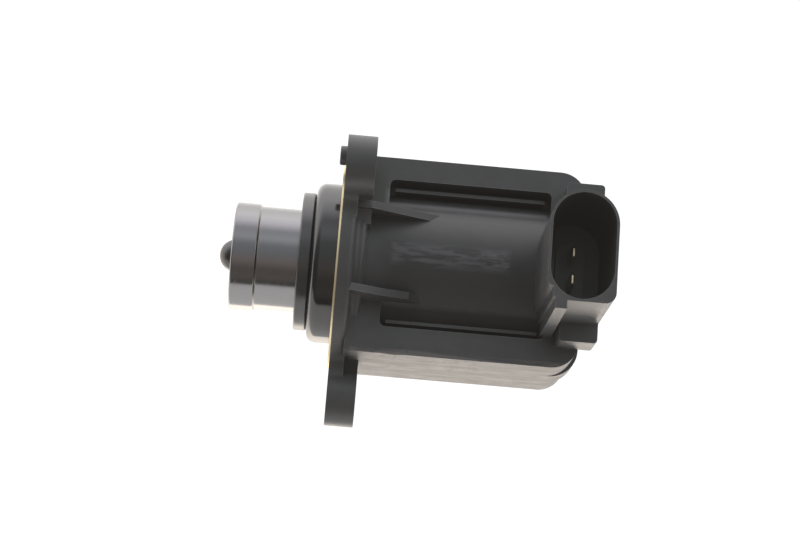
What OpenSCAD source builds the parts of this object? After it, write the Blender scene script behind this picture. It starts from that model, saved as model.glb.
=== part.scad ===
// Air bypass valve with a solenoid drive, for the pressure side of an engine's turbocharger.
// The valve axis is X. The mounting face is the plane X = 0, the piston points to -X, the
// plug socket opens to -Y and +Z is up. All sizes are in millimetres.

/* [Flange] */
// Radius of the flange's round plate
disc_r = 23.4; // [22:0.1:26]
// Thickness of the flange's round plate
disc_t = 3.2; // [2.4:0.1:4.5]
// Radius of the circle through the three bolt holes
bolt_circle_r = 30; // [29:0.1:34]
// Radius of the clear hole in a bolt sleeve
bolt_hole_r = 3.2; // [2.6:0.1:3.5]
// Wall of a bolt sleeve
sleeve_wall = 1.05; // [0.6:0.05:1.3]
// Radius of an ear's round end
ear_r = 6.3; // [5.9:0.1:8]
// Thickness of an ear
ear_t = 6.3; // [5:0.1:9]
// Radius of the hollow fillet between an ear and the round plate
ear_fillet_r = 3.5; // [3:0.5:8]
// Radius of the hollow fillet between an ear and the neck
ear_neck_fillet_r = 4; // [3:0.5:6]
// Radius of the neck behind the round plate
neck_r = 19.1; // [18:0.1:20.5]
// How far the neck reaches behind the mounting face
neck_end = 5.7; // [5.5:0.1:7]
// Radius of the locating pin
pin_r = 2.1; // [1.2:0.05:2.4]
// Height of the locating pin above the mounting face
pin_h = 1.45; // [1:0.05:4]
// Distance of the locating pin from the valve axis
pin_circle_r = 26.9; // [26:0.1:28.5]
// Angle of the locating pin from the top towards the socket's side
pin_angle = 43.5; // [38:0.5:45]

/* [Coil box] */
// Length of the box behind the mounting face
box_end = 53; // [51.5:0.5:60]
// Height of the box
box_h = 43.8; // [43:0.1:50]
// Width of the box across its two windows
box_w = 25.2; // [24:0.1:28]
// Radius of the box's rear corners
box_corner_r = 5.8; // [3:0.1:8]
// Width of the raised band around the middle of the rear end
band_w = 6.6; // [3:0.1:12]
// How far the raised band stands out of the rear end
band_step = 1.1; // [0.4:0.1:2]
// Radius of the raised band's rear corners
band_corner_r = 6.2; // [3:0.1:7]
// Radius of the round barrel over the coil
barrel_r = 16.3; // [16.1:0.1:17]
// Front end of the window beside the barrel
window_start = 10; // [9:0.1:12]
// Rear end of the window beside the barrel
window_end = 45.4; // [44:0.1:46.5]
// Height of the window
window_h = 32.9; // [31:0.1:33.5]
// How far the window's middle lies above the axis
window_lift = 0.5; // [0:0.1:1]
// Depth of the window
window_depth = 6.1; // [3:0.1:8]
// Radius of the window's corners
window_corner_r = 1.2; // [0.5:0.1:3]
// Thickness of the thin ribs along the window
fin_t = 0.7; // [0.4:0.1:1.2]
// Gap between a thin rib and the window's edge
fin_inset = 1.3; // [0.8:0.1:2]
// Depth of the thin ribs' edges below the box's face
fin_depth = 2.4; // [1:0.1:4]
// Gap between the sloped pad above the upper gusset and the window
pad_gap = 0.2; // [0.1:0.1:1]
// Height of the sloped pad
pad_h = 8.8; // [5:0.1:9.5]
// How far the sloped pad stands out at its lower end
pad_depth = 0.5; // [0.1:0.05:0.8]
// Width of the scar that the mould's gate left on the box's lower edge
gate_w = 5.4; // [3:0.1:7]
// Height of the gate's scar
gate_h = 0.6; // [0.3:0.1:1]

/* [Gussets] */
// Thickness of the gussets between flange and barrel
gusset_t = 1.6; // [1:0.1:2.5]
// Height of the upper gusset's middle above the axis
gusset_up_z = 8.6; // [7:0.1:10]
// Depth of the lower gusset's middle below the axis
gusset_low_z = 9.7; // [7:0.1:10.5]
// Rear end of the upper gusset
gusset_up_end = 21.5; // [16:0.5:28]
// Rear end of the lower gusset
gusset_low_end = 19; // [16:0.5:26]
// Distance of the gussets' outer corners from the box's middle plane
gusset_root_y = 20.6; // [19:0.1:21]

/* [Plug socket] */
// Middle of the socket along the valve axis
socket_x = 49.8; // [49:0.1:52]
// Width of the socket, outside
socket_w = 14.25; // [13.6:0.05:16]
// Highest point of the socket, outside
socket_top = 10.3; // [9.5:0.1:12]
// Depth of the socket's lower edge below the axis
socket_low = 13.4; // [12.8:0.1:15]
// Distance of the socket's lip from the axis
socket_lip = 39.2; // [34:0.1:44]
// Wall of the socket
socket_wall = 0.55; // [0.5:0.05:1.2]
// Radius of the socket's lower outer corner
socket_corner_r = 2.3; // [1:0.1:3]
// Distance of the socket's floor from the axis
socket_floor = 13.4; // [12.9:0.1:16]
// Width of the key rib under the socket
key_w = 2.4; // [1.5:0.1:3]
// Height of the key rib under the socket
key_h = 1.8; // [1:0.1:2.5]
// Height of the step at the floor of the socket
step_h = 2.2; // [1:0.1:4]
// Half width of the step at the floor of the socket
step_half = 3.1; // [2.6:0.1:4]
// Width of the cross bar behind the socket
bar_w = 8.2; // [6:0.1:9]
// Height of the cross bar
bar_h = 35; // [30:0.1:38]
// Distance of the cross bar's front face from the axis
bar_face = 20; // [17:0.1:24]

/* [Terminals] */
// Distance between the two blades
blade_pitch = 6; // [4.5:0.1:7]
// Width of a blade
blade_w = 2.8; // [2:0.1:3]
// Thickness of a blade
blade_t = 0.8; // [0.5:0.05:1]
// Distance of the blades' tips from the axis
blade_tip = 22.4; // [20:0.1:32]

/* [Magnet circuit] */
// Width of the yoke strip
yoke_w = 19; // [14:0.5:20]
// Thickness of the yoke strip
yoke_t = 2.4; // [1.5:0.1:2.6]
// Outside height of the yoke
yoke_h = 40.8; // [40:0.1:41]
// Outer radius of the yoke's bends
yoke_bend_r = 4.4; // [3:0.1:5]
// Distance of the yoke's rear face from the mounting face
yoke_end = 50; // [49.8:0.1:51]
// Front face of the pole plate behind the mounting face
plate_start = 8; // [7.5:0.1:8.5]
// Thickness of the pole plate
plate_t = 3; // [2:0.1:3.5]
// Radius of the pole plate's round middle
plate_r = 15; // [13:0.1:15.2]
// Width of the pole plate's two lugs
plate_lug_w = 11; // [8:0.5:12]
// Thickness of the bobbin's end flanges
bobbin_flange_t = 1.2; // [0.8:0.1:2]
// Radius of the bobbin's end flanges
bobbin_r = 14.1; // [13.5:0.1:14.6]
// Radial depth of the copper winding
winding_depth = 4.4; // [3:0.1:4.6]
// Thickness of the bobbin's tube
bobbin_wall = 1; // [0.6:0.1:1.4]
// Outer radius of the guide tube
tube_r = 8.1; // [7.4:0.1:8.4]
// Wall of the guide tube
tube_wall = 0.6; // [0.3:0.05:0.9]
// Length of the fixed core inside the coil
core_l = 9.6; // [6:0.1:12]
// Radius of the fixed core's rivet in the yoke
core_rivet_r = 4; // [2.5:0.1:5.5]
// Thickness of the shim on the fixed core
shim_t = 0.5; // [0.2:0.1:1]

/* [Piston] */
// Travel of the piston
stroke = 6; // [3:0.5:7]
// Radius of the piston's tube
piston_r = 11.4; // [10:0.05:11.6]
// Radial step of the band at the piston's front
piston_band_step = 0.5; // [0.2:0.05:1]
// Length of the band at the piston's front
piston_band_l = 5.3; // [2:0.1:6]
// Distance of the piston's front from the mounting face
piston_front = 23.2; // [22:0.1:28]
// Distance of the piston's open end from the mounting face
piston_back = 0.5; // [0.3:0.1:3]
// Wall of the piston's tube
piston_wall = 1.4; // [0.8:0.1:1.8]
// Thickness of the piston's front
piston_front_t = 2.4; // [1.5:0.1:4]
// Radius of the pressure holes in the piston's front
vent_r = 1; // [0.6:0.1:1.1]
// Distance of the pressure holes from the axis
vent_circle_r = 5; // [4.9:0.1:5.4]
// Number of pressure holes
vent_count = 4; // [3:1:6]
// Radius of the push rod
rod_r = 2; // [1.5:0.1:2.4]
// Radius of the push rod's domed head
dome_r = 3.55; // [2.6:0.05:3.8]
// Height of the push rod's domed head
dome_h = 3; // [2:0.1:3.4]
// Wire radius of the return spring
wire_r = 0.55; // [0.4:0.05:0.7]
// Mean radius of the return spring
spring_r = 7.6; // [6.5:0.1:8]
// Turns of the return spring
spring_turns = 7; // [4:0.5:9]

/* [Guide and seals] */
// Radius of the guide cup's drum
cup_r = 17.75; // [16.8:0.05:19]
// Length of the guide cup's drum in front of the mounting face
cup_l = 5.8; // [4.8:0.1:7]
// Radius of the drum's front shoulder
cup_shoulder_r = 2.2; // [1:0.1:3.4]
// Radius of the guide cup's collar
collar_r = 13.6; // [13.2:0.1:14]
// Length of the collar in front of the drum
collar_l = 2.9; // [2.7:0.1:5]
// Radius of the guide cup's register in the housing
register_r = 16.6; // [15.6:0.1:16.7]
// Length of the guide cup's register
register_l = 2.6; // [1.9:0.1:2.8]
// Radius of the seal retainer
retainer_r = 15.3; // [14.4:0.05:16.4]
// Length of the seal retainer
retainer_l = 2.6; // [2:0.1:2.8]
// Width of the seal around the piston
seal_w = 1.6; // [1:0.1:2]
// Depth of the seal around the piston
seal_depth = 1.2; // [0.8:0.1:1.5]
// Radius of the retaining plate
retaining_r = 23.25; // [20:0.05:23.35]
// Thickness of the retaining plate
retaining_t = 0.4; // [0.3:0.1:1]
// Thickness of the ring that seals the register
ring_t = 1.2; // [0.8:0.1:1.3]

/* [Fits] */
// Radial clearance of the piston in its guide, and of the rod in its bush
run_gap = 0.06; // [0.02:0.01:0.1]
// Clearance around pieces that are pressed or moulded in
seat_gap = 0.03; // [0.02:0.01:0.06]

/* [Hidden] */

// Facets of large and of small round shapes, and a length by which cuts run past a face
$fn = 72;
fine = 36;
over = 1;

// Angles of the three ears from the top towards the socket's side
ear_near = 59;
ear_low = ear_near + 120;
ear_far = ear_near + 240;

// How far the ears' fillets sink into the round shapes that they join
fillet_sink = 0.05;

// Where the box starts, just inside the round plate's rear face
box_start = disc_t - 0.4;

// Radius of the lobe around the locating pin
pin_lobe_r = pin_r + 1.3;

// Half sizes of the box
box_y = box_w / 2;
box_z = box_h / 2;

// Clearance that keeps the armature off its two stops
stop_gap = 0.1;

// The bush that carries the rod and the spring's fixed end
bush_l = 5.4;
bush_flange_t = 1.4;
bush_start = plate_start - bush_flange_t;
bush_end = bush_start + bush_l;

// Thickness of the moulding between the coil and the yoke's web
coil_back_wall = 3;

// Places along the axis
plate_end = plate_start + plate_t;
bobbin_start = plate_end + seat_gap;
web_start = yoke_end - yoke_t;
core_start = web_start - core_l;
bobbin_end = web_start - coil_back_wall;
tube_end = web_start - seat_gap;
armature_start = bush_end + stop_gap;
armature_end = core_start - shim_t - stop_gap - stroke;
collar_front = -cup_l - collar_l;
retainer_back = collar_front + retainer_l;
seal_start = collar_front + 0.9;
spring_front = -piston_front + piston_front_t;

// Radii of pieces inside each other
core_r = tube_r - tube_wall - seat_gap;
armature_r = tube_r - tube_wall - run_gap;
bobbin_bore_r = tube_r + seat_gap;
bobbin_tube_r = bobbin_bore_r + bobbin_wall;
winding_r = bobbin_tube_r + winding_depth;
coil_room_r = bobbin_r + seat_gap;
guide_bore_r = piston_r + run_gap;
piston_bore_r = piston_r - piston_wall;
sleeve_r = bolt_hole_r + sleeve_wall;
chamber_r = register_r - 2.2;
bush_r = tube_r - tube_wall - seat_gap;
bush_flange_r = piston_bore_r - 0.5;
piston_band_r = piston_r + piston_band_step;
// The plate lies behind the drum's edge, on a seat that is a little narrower than the drum
plate_seat_r = cup_r - 0.4;
// The pole plate's lugs reach up to the yoke's two legs
lug_h = yoke_h - 2 * yoke_t;
// Radius of the sphere that the rod's dome is cut from
dome_sphere_r = (dome_r * dome_r + dome_h * dome_h) / (2 * dome_h);

// The socket's inner and outer outlines
socket_half = socket_w / 2;
socket_bore_half = socket_half - socket_wall;
socket_arch_z = socket_top - socket_half;
socket_bore_low_z = -socket_low + socket_wall + socket_bore_half;
socket_mid_z = (socket_top - socket_low) / 2;

// The stepped lower corner of the socket and its key rib
notch_depth = 1.4;
notch_h = 4.2;
notch_z = -socket_low + notch_h;
ledge_w = 0.5;
ledge_z = -socket_low + 0.6;

// How far the step at the socket's floor reaches beyond the two blades
step_rise = 0.5;
step_drop = 3;

// Depth of the socket's foot between the barrel and the box's rear end
socket_foot = 3;

// The cross bar's middle along the axis, and its edge radius
bar_x_mid = socket_x + 2.15;
bar_edge_r = 0.8;

// The tails of the terminals lie between the coil and the box's face
tail_y = 10.6;
tail_w = 1.6;
tip_bevel = 0.5;
tip_thin = 0.2;
terminal_up_z = socket_mid_z + blade_pitch / 2;
terminal_low_z = socket_mid_z - blade_pitch / 2;

// Place of the gate's scar along the axis
gate_x = 13.6;

// Radii of small edges: flange rim, guide pieces, piston and armature
rim_edge_r = 1.2;
ring_edge = 0.3;
armature_edge = 0.5;

// Groove of the sealing ring in the guide cup's register
groove_start = 0.6;

// Facets around the spring's wire and along one turn of it
wire_sides = 8;
turn_steps = 20;
wire_steps = turn_steps * spring_turns;

// Places a shape that is drawn around the local Z axis on the valve axis
module on_axis(x) {
    translate([x, 0, 0])
        rotate([0, 90, 0])
            children();
}

// Turns an outline of radius and height around the valve axis
module turned() {
    rotate([0, 90, 0])
        rotate_extrude()
            children();
}

// A round bar along the valve axis
module bar_x(x, length, r) {
    on_axis(x)
        cylinder(h = length, r = r);
}

// A ring along the valve axis
module ring_x(x, length, outer, inner) {
    on_axis(x)
        difference() {
            cylinder(h = length, r = outer);
            translate([0, 0, -over])
                cylinder(h = length + 2 * over, r = inner);
        }
}

// Extrudes an outline in the plane of Y and Z along the axis
module plan_x(x, length) {
    translate([x, 0, 0])
        rotate([90, 0, 90])
            linear_extrude(height = length)
                children();
}

// Extrudes an outline in the plane of X and Z, from y_back towards -Y
module plan_y(y_back, length) {
    translate([0, y_back, 0])
        rotate([90, 0, 0])
            linear_extrude(height = length)
                children();
}

// Repeats a shape on the side away from the socket
module both_sides() {
    children();
    mirror([0, 1, 0])
        children();
}

// Moves a shape to a place around the axis, in the plane of Y and Z
module around(angle, r) {
    translate([-r * sin(angle), r * cos(angle)])
        children();
}

// A rectangle with four round corners
module round_rect(x0, x1, z0, z1, r) {
    for (x = [x0 + r, x1 - r], z = [z0 + r, z1 - r])
        translate([x, z])
            circle(r = r, $fn = fine);
    translate([x0 + r, z0])
        square([x1 - x0 - 2 * r, z1 - z0]);
    translate([x0, z0 + r])
        square([x1 - x0, z1 - z0 - 2 * r]);
}

// Outline of one ear with the two hollow fillets that lead to a round shape
module ear_plan(angle, round_r, fillet_r) {
    reach = round_r + fillet_r - fillet_sink;
    side = ear_r + fillet_r - fillet_sink;
    // The fillet's centre lies at these distances from the axis and from the bolt hole
    along = (bolt_circle_r * bolt_circle_r + reach * reach - side * side) / (2 * bolt_circle_r);
    across = sqrt(reach * reach - along * along);
    rotate(angle)
        difference() {
            union() {
                translate([0, bolt_circle_r])
                    circle(r = ear_r);
                polygon([[0, 0], [across, along], [0, bolt_circle_r], [-across, along]]);
            }
            for (side_sign = [-1, 1])
                translate([side_sign * across, along])
                    circle(r = fillet_r);
        }
}

// The lobe that carries the locating pin joins the near ear
module pin_lobe_plan() {
    around(pin_angle, pin_circle_r)
        circle(r = pin_lobe_r, $fn = fine);
    rotate(pin_angle)
        translate([-pin_lobe_r, neck_r])
            square([2 * pin_lobe_r, pin_circle_r - neck_r]);
}

// Outline of a round plate whose rear edge is rounded
module rounded_disc_plan(r, t) {
    square([r - rim_edge_r, t]);
    square([r, t - rim_edge_r]);
    translate([r - rim_edge_r, t - rim_edge_r])
        circle(r = rim_edge_r, $fn = fine);
}

// Flange: round plate, neck with a hollow foot, three ears and the locating pin. The ears'
// rear half runs into the neck, their front half into the round plate.
module flange() {
    turned() {
        rounded_disc_plan(disc_r, disc_t);
        rounded_disc_plan(neck_r, neck_end);
        difference() {
            translate([0, disc_t - rim_edge_r])
                square([neck_r + rim_edge_r, 2 * rim_edge_r]);
            translate([neck_r + rim_edge_r, disc_t + rim_edge_r])
                circle(r = rim_edge_r, $fn = fine);
        }
    }
    plan_x(0, disc_t)
        for (angle = [ear_near, ear_low, ear_far])
            ear_plan(angle, disc_r, ear_fillet_r);
    plan_x(0, ear_t) {
        for (angle = [ear_near, ear_low, ear_far])
            ear_plan(angle, neck_r, ear_neck_fillet_r);
        pin_lobe_plan();
    }
    plan_x(-pin_h, pin_h + over)
        around(pin_angle, pin_circle_r)
            circle(r = pin_r, $fn = fine);
}

// Outline of the box with its two round rear corners
module box_plan(x_end, corner_r) {
    translate([box_start, -box_z])
        square([x_end - corner_r - box_start, box_h]);
    translate([box_start, -box_z + corner_r])
        square([x_end - box_start, box_h - 2 * corner_r]);
    for (z = [-box_z + corner_r, box_z - corner_r])
        translate([x_end - corner_r, z])
            circle(r = corner_r);
}

// Pocket beside the barrel, with two thin ribs left standing in it
module window() {
    low = window_lift - window_h / 2;
    high = window_lift + window_h / 2;
    difference() {
        plan_y(-box_y + window_depth, window_depth + over)
            round_rect(window_start, window_end, low, high, window_corner_r);
        for (z = [low + fin_inset, high - fin_inset - fin_t])
            translate([window_start + fin_inset, -box_y + fin_depth, z])
                cube([window_end - window_start - 2 * fin_inset, box_y, fin_t]);
    }
}

// Sloped pad between the flange and the window, above the upper gusset
module sloped_pad() {
    plan_x(disc_t, window_start - pad_gap - disc_t)
        polygon([[-box_y + over, gusset_up_z], [-box_y - pad_depth, gusset_up_z],
                 [-box_y, gusset_up_z + pad_h], [-box_y + over, gusset_up_z + pad_h]]);
}

// Shallow round scoop across the box's lower edge, where the gate was cut off
module gate_scar() {
    depth = gate_h / sqrt(2);
    r = (gate_w * gate_w / 4 + depth * depth) / (2 * depth);
    translate([gate_x, -box_y, -box_z])
        rotate([45, 0, 0])
            translate([0, depth - r, 0])
                cylinder(h = 4 * gate_h, r = r, center = true);
}

// Upper gusset, from the flange's rim down to the barrel in a straight line
module upper_gusset() {
    foot = sqrt(pow(barrel_r, 2) - pow(gusset_up_z + gusset_t / 2, 2));
    translate([0, 0, gusset_up_z - gusset_t / 2])
        linear_extrude(height = gusset_t)
            polygon([[disc_t - over, -foot + over], [disc_t - over, -gusset_root_y],
                     [ear_t, -gusset_root_y], [gusset_up_end, -foot], [gusset_up_end, -foot + over]]);
}

// Lower gusset, with a blunt end
module lower_gusset() {
    foot = sqrt(pow(barrel_r, 2) - pow(gusset_low_z + gusset_t / 2, 2));
    drop = gusset_root_y - foot;
    length = gusset_low_end - disc_t;
    translate([0, 0, -gusset_low_z - gusset_t / 2])
        linear_extrude(height = gusset_t)
            polygon([[disc_t - over, -foot + over], [disc_t - over, -gusset_root_y],
                     [disc_t, -gusset_root_y],
                     [disc_t + 0.43 * length, -foot - 0.63 * drop],
                     [disc_t + 0.79 * length, -foot - 0.46 * drop],
                     [gusset_low_end, -foot + 0.4], [gusset_low_end, -foot + over]]);
}

// Outer outline of the socket: arched top, stepped corner with a key rib below
module socket_plan() {
    left = socket_x - socket_half;
    right = socket_x + socket_half;
    key_left = left + notch_depth + ledge_w;
    translate([socket_x, socket_arch_z])
        circle(r = socket_half);
    translate([left, notch_z])
        square([socket_w, socket_arch_z - notch_z]);
    translate([left + notch_depth, ledge_z])
        square([socket_half - notch_depth, notch_z - ledge_z + over]);
    translate([left + notch_depth, notch_z])
        circle(r = notch_depth, $fn = fine);
    round_rect(key_left, right, -socket_low, 0, socket_corner_r);
    translate([key_left, -socket_low])
        square([socket_half, socket_corner_r]);
    translate([key_left, -socket_low - key_h])
        square([key_w, key_h + over]);
}

// Hollow of the socket, round at both ends
module socket_bore_plan() {
    for (z = [socket_arch_z, socket_bore_low_z])
        translate([socket_x, z])
            circle(r = socket_bore_half);
    translate([socket_x - socket_bore_half, socket_bore_low_z])
        square([2 * socket_bore_half, socket_arch_z - socket_bore_low_z]);
}

// Outline of the cross bar
module cross_bar_plan() {
    round_rect(bar_x_mid - bar_w / 2, bar_x_mid + bar_w / 2, -bar_h / 2, bar_h / 2, bar_edge_r);
}

// Step at the socket's floor, with an arched top
module socket_step_plan() {
    translate([socket_x, terminal_up_z + step_rise])
        circle(r = step_half, $fn = fine);
    translate([socket_x - step_half, terminal_low_z - step_drop])
        square([2 * step_half, blade_pitch + step_drop + step_rise]);
}

// The socket with its floor, its step and the cross bar that it stands on
module socket() {
    difference() {
        union() {
            plan_y(-box_y, socket_lip - box_y)
                socket_plan();
            plan_y(-box_y, bar_face - box_y)
                cross_bar_plan();
        }
        difference() {
            plan_y(-socket_floor, socket_lip)
                socket_bore_plan();
            plan_y(-socket_floor, step_h)
                socket_step_plan();
        }
    }
    // The socket's foot fills the hollow between the barrel and the box's rear end
    plan_y(-box_y + socket_foot, socket_foot)
        intersection() {
            socket_plan();
            box_plan(box_end, box_corner_r);
        }
}

// Space taken by a terminal: blade, bend and tail to the coil
module terminal_space(z, gap) {
    translate([socket_x - blade_t / 2 - gap, -blade_tip, z - blade_w / 2 - gap])
        cube([blade_t + 2 * gap, blade_tip - tail_y + blade_t + gap, blade_w + 2 * gap]);
    translate([bobbin_end, -tail_y - gap, z - tail_w / 2 - gap])
        cube([socket_x - bobbin_end, blade_t + 2 * gap, tail_w + 2 * gap]);
}

// One terminal with a bevelled tip
module terminal(z) {
    color("goldenrod")
        difference() {
            terminal_space(z, 0);
            for (side_sign = [-1, 1]) {
                translate([socket_x, -blade_tip, z + side_sign * blade_w / 2])
                    rotate([45, 0, 0])
                        cube([2 * blade_t, tip_bevel * sqrt(2), tip_bevel * sqrt(2)], center = true);
                translate([socket_x + side_sign * blade_t / 2, -blade_tip, z])
                    rotate([0, 0, 45])
                        cube([tip_thin * sqrt(2), tip_thin * sqrt(2), 2 * blade_w], center = true);
            }
        }
}

// Side view of the yoke strip, grown by a gap
module yoke_plan(gap) {
    difference() {
        yoke_outline(yoke_h / 2 + gap, yoke_end + gap, yoke_bend_r + gap);
        translate([-over, 0])
            yoke_outline(yoke_h / 2 - yoke_t - gap, web_start - gap + over, yoke_bend_r - yoke_t - gap);
    }
}

// Outline of a U that lies on its side and starts at the pole plate
module yoke_outline(half, x_end, bend_r) {
    translate([plate_start, -half])
        square([x_end - bend_r - plate_start, 2 * half]);
    translate([plate_start, -half + bend_r])
        square([x_end - plate_start, 2 * half - 2 * bend_r]);
    for (z = [-half + bend_r, half - bend_r])
        translate([x_end - bend_r, z])
            circle(r = bend_r, $fn = fine);
}

// The yoke strip, grown by a gap
module yoke_body(gap) {
    plan_y(yoke_w / 2 + gap, yoke_w + 2 * gap)
        yoke_plan(gap);
}

// The pole plate, grown by a gap
module plate_body(gap) {
    plan_x(plate_start - gap, plate_t + 2 * gap) {
        circle(r = plate_r + gap);
        translate([-plate_lug_w / 2 - gap, -lug_h / 2])
            square([plate_lug_w + 2 * gap, lug_h]);
    }
}

// Everything that the moulding is formed around or that is fitted into it
module housing_hollows() {
    on_axis(-over)
        cylinder(h = register_l + over + seat_gap, r = register_r + seat_gap);
    bar_x(0, plate_start + seat_gap, chamber_r);
    plate_body(seat_gap);
    bar_x(plate_end, bobbin_end + seat_gap - plate_end, coil_room_r);
    bar_x(bobbin_end, web_start - bobbin_end + seat_gap, tube_r + seat_gap);
    yoke_body(seat_gap);
    bar_x(web_start, yoke_end + seat_gap - web_start, core_rivet_r + seat_gap);
    for (z = [terminal_low_z, terminal_up_z])
        terminal_space(z, seat_gap);
    for (angle = [ear_near, ear_low, ear_far])
        plan_x(-over, ear_t + 2 * over)
            around(angle, bolt_circle_r)
                circle(r = sleeve_r + seat_gap);
}

// The moulded housing: flange, barrel, box, gussets, socket and cross bar in one piece
module housing() {
    color([0.16, 0.16, 0.17])
        difference() {
            union() {
                flange();
                difference() {
                    union() {
                        plan_y(box_y, box_w)
                            box_plan(box_end, box_corner_r);
                        plan_y(band_w / 2, band_w)
                            box_plan(box_end + band_step, band_corner_r);
                    }
                    both_sides()
                        window();
                    gate_scar();
                }
                bar_x(0, window_end + over, barrel_r);
                both_sides() {
                    sloped_pad();
                    upper_gusset();
                    lower_gusset();
                }
                socket();
            }
            housing_hollows();
        }
}

// A steel sleeve that takes the bolt's load in one ear
module bolt_sleeve(angle) {
    color("silver")
        plan_x(0, ear_t)
            around(angle, bolt_circle_r)
                difference() {
                    circle(r = sleeve_r);
                    circle(r = bolt_hole_r);
                }
}

module bolt_sleeve_near() {
    bolt_sleeve(ear_near);
}

module bolt_sleeve_low() {
    bolt_sleeve(ear_low);
}

module bolt_sleeve_far() {
    bolt_sleeve(ear_far);
}

module terminal_upper() {
    terminal(terminal_up_z);
}

module terminal_lower() {
    terminal(terminal_low_z);
}

// The bobbin: a tube between two end flanges
module coil_bobbin() {
    color("ivory")
        turned()
            difference() {
                translate([bobbin_bore_r, bobbin_start])
                    square([bobbin_r - bobbin_bore_r, bobbin_end - bobbin_start]);
                translate([bobbin_tube_r, bobbin_start + bobbin_flange_t])
                    square([bobbin_r, bobbin_end - bobbin_start - 2 * bobbin_flange_t]);
            }
}

// The copper winding between the bobbin's flanges
module coil_winding() {
    color([0.72, 0.40, 0.20])
        ring_x(bobbin_start + bobbin_flange_t + seat_gap,
               bobbin_end - bobbin_start - 2 * bobbin_flange_t - 2 * seat_gap,
               winding_r, bobbin_tube_r + seat_gap);
}

// The yoke: a steel strip bent to a U around the coil, with a hole for the core's rivet
module yoke() {
    color("darkgray")
        difference() {
            yoke_body(0);
            bar_x(web_start - over, yoke_t + 2 * over, core_rivet_r + seat_gap);
        }
}

// The pole plate closes the yoke's open end in front of the coil
module pole_plate() {
    color("darkgray")
        difference() {
            intersection() {
                plate_body(0);
                plan_x(plate_start, plate_t)
                    square([2 * plate_r, lug_h - 2 * seat_gap], center = true);
            }
            bar_x(plate_start - over, plate_t + 2 * over, tube_r + seat_gap);
        }
}

// The fixed core, riveted into the yoke
module pole_core() {
    color("gray")
        union() {
            bar_x(core_start, core_l, core_r);
            bar_x(web_start - over, yoke_t + over, core_rivet_r);
        }
}

// A brass shim that keeps the armature from sticking to the core
module core_shim() {
    color("gold")
        ring_x(core_start - shim_t, shim_t, core_r - 0.4, rod_r + 0.6);
}

// The thin tube in which the armature slides
module guide_tube() {
    color("gainsboro")
        ring_x(plate_start, tube_end - plate_start, tube_r, tube_r - tube_wall);
}

// The bush that guides the rod, with a flange that seats the spring
module rod_bush() {
    color("peru")
        difference() {
            union() {
                bar_x(bush_start, bush_flange_t, bush_flange_r);
                bar_x(bush_start, bush_l, bush_r);
            }
            bar_x(bush_start - over, bush_l + 2 * over, rod_r + run_gap);
        }
}

// The guide cup: drum with a round shoulder, collar in front, register behind, bore for the piston
module guide_cup() {
    shoulder = cup_r - cup_shoulder_r;
    color([0.08, 0.08, 0.09])
        turned()
            difference() {
                union() {
                    translate([0, -cup_l])
                        square([shoulder, cup_l]);
                    translate([0, -cup_l + cup_shoulder_r])
                        square([cup_r, cup_l - cup_shoulder_r - retaining_t]);
                    translate([shoulder, -cup_l + cup_shoulder_r])
                        circle(r = cup_shoulder_r, $fn = fine);
                    translate([0, -retaining_t - over])
                        square([plate_seat_r, retaining_t + over]);
                    translate([0, collar_front])
                        square([collar_r, collar_l + over]);
                    translate([0, -over])
                        square([register_r, register_l + over]);
                }
                translate([-over, collar_front - over])
                    square([guide_bore_r + over, collar_l + cup_l + register_l + 2 * over]);
                // Groove of the piston's seal
                translate([0, seal_start - seat_gap])
                    square([guide_bore_r + seal_depth + seat_gap, seal_w + 2 * seat_gap]);
                // Groove of the register's sealing ring
                translate([register_r - ring_t, groove_start])
                    square([ring_t + over, ring_t]);
            }
}

// The ring that is pressed on the collar
module seal_retainer() {
    side = retainer_r - ring_edge;
    color([0.13, 0.13, 0.14])
        turned()
            polygon([[collar_r + seat_gap, collar_front],
                     [side, collar_front], [retainer_r, collar_front + ring_edge],
                     [retainer_r, retainer_back - ring_edge], [side, retainer_back],
                     [collar_r + seat_gap, retainer_back]]);
}

// The seal that rides on the piston
module piston_seal() {
    color([0.12, 0.10, 0.09])
        ring_x(seal_start, seal_w, guide_bore_r + seal_depth, guide_bore_r);
}

// The plated disc on the mounting face around the drum
module retaining_plate() {
    color([0.80, 0.68, 0.36])
        ring_x(-retaining_t, retaining_t, retaining_r, plate_seat_r + seat_gap);
}

// The round sealing ring in the register's groove
module register_ring() {
    color([0.20, 0.20, 0.22])
        turned()
            translate([register_r - ring_t / 2, groove_start + ring_t / 2])
                circle(r = ring_t / 2 - seat_gap, $fn = fine);
}

// Height of the helix at turn t, with one closed turn at each end
function spring_rise(t) =
    let (open_turns = spring_turns - 2, closed = 2.2 * wire_r,
         span = bush_start - spring_front - 2 * wire_r - 2 * closed)
    t < 1 ? closed * t :
    t > spring_turns - 1 ? closed + span + closed * (t - spring_turns + 1) :
    closed + span * (t - 1) / open_turns;

// Point j of the ring of points that stands around the wire at step i of the helix
function wire_point(i, j) =
    let (t = i / turn_steps, a = 360 * t, b = 360 * j / wire_sides, r = spring_r + wire_r * cos(b))
    [r * cos(a), r * sin(a), spring_front + wire_r + spring_rise(t) + wire_r * sin(b)];

// The return spring between the piston's front and the bush
module return_spring() {
    points = [for (i = [0:wire_steps], j = [0:wire_sides - 1]) wire_point(i, j)];
    sides = [for (i = [0:wire_steps - 1], j = [0:wire_sides - 1])
        let (k = (j + 1) % wire_sides, a = i * wire_sides, b = a + wire_sides)
        [a + j, b + j, b + k, a + k]];
    first = [for (j = [0:wire_sides - 1]) j];
    last = [for (j = [wire_sides - 1:-1:0]) wire_steps * wire_sides + j];
    color("lightgray")
        rotate([0, 90, 0])
            polyhedron(points = points, faces = concat(sides, [first, last]), convexity = 10);
}

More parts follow.
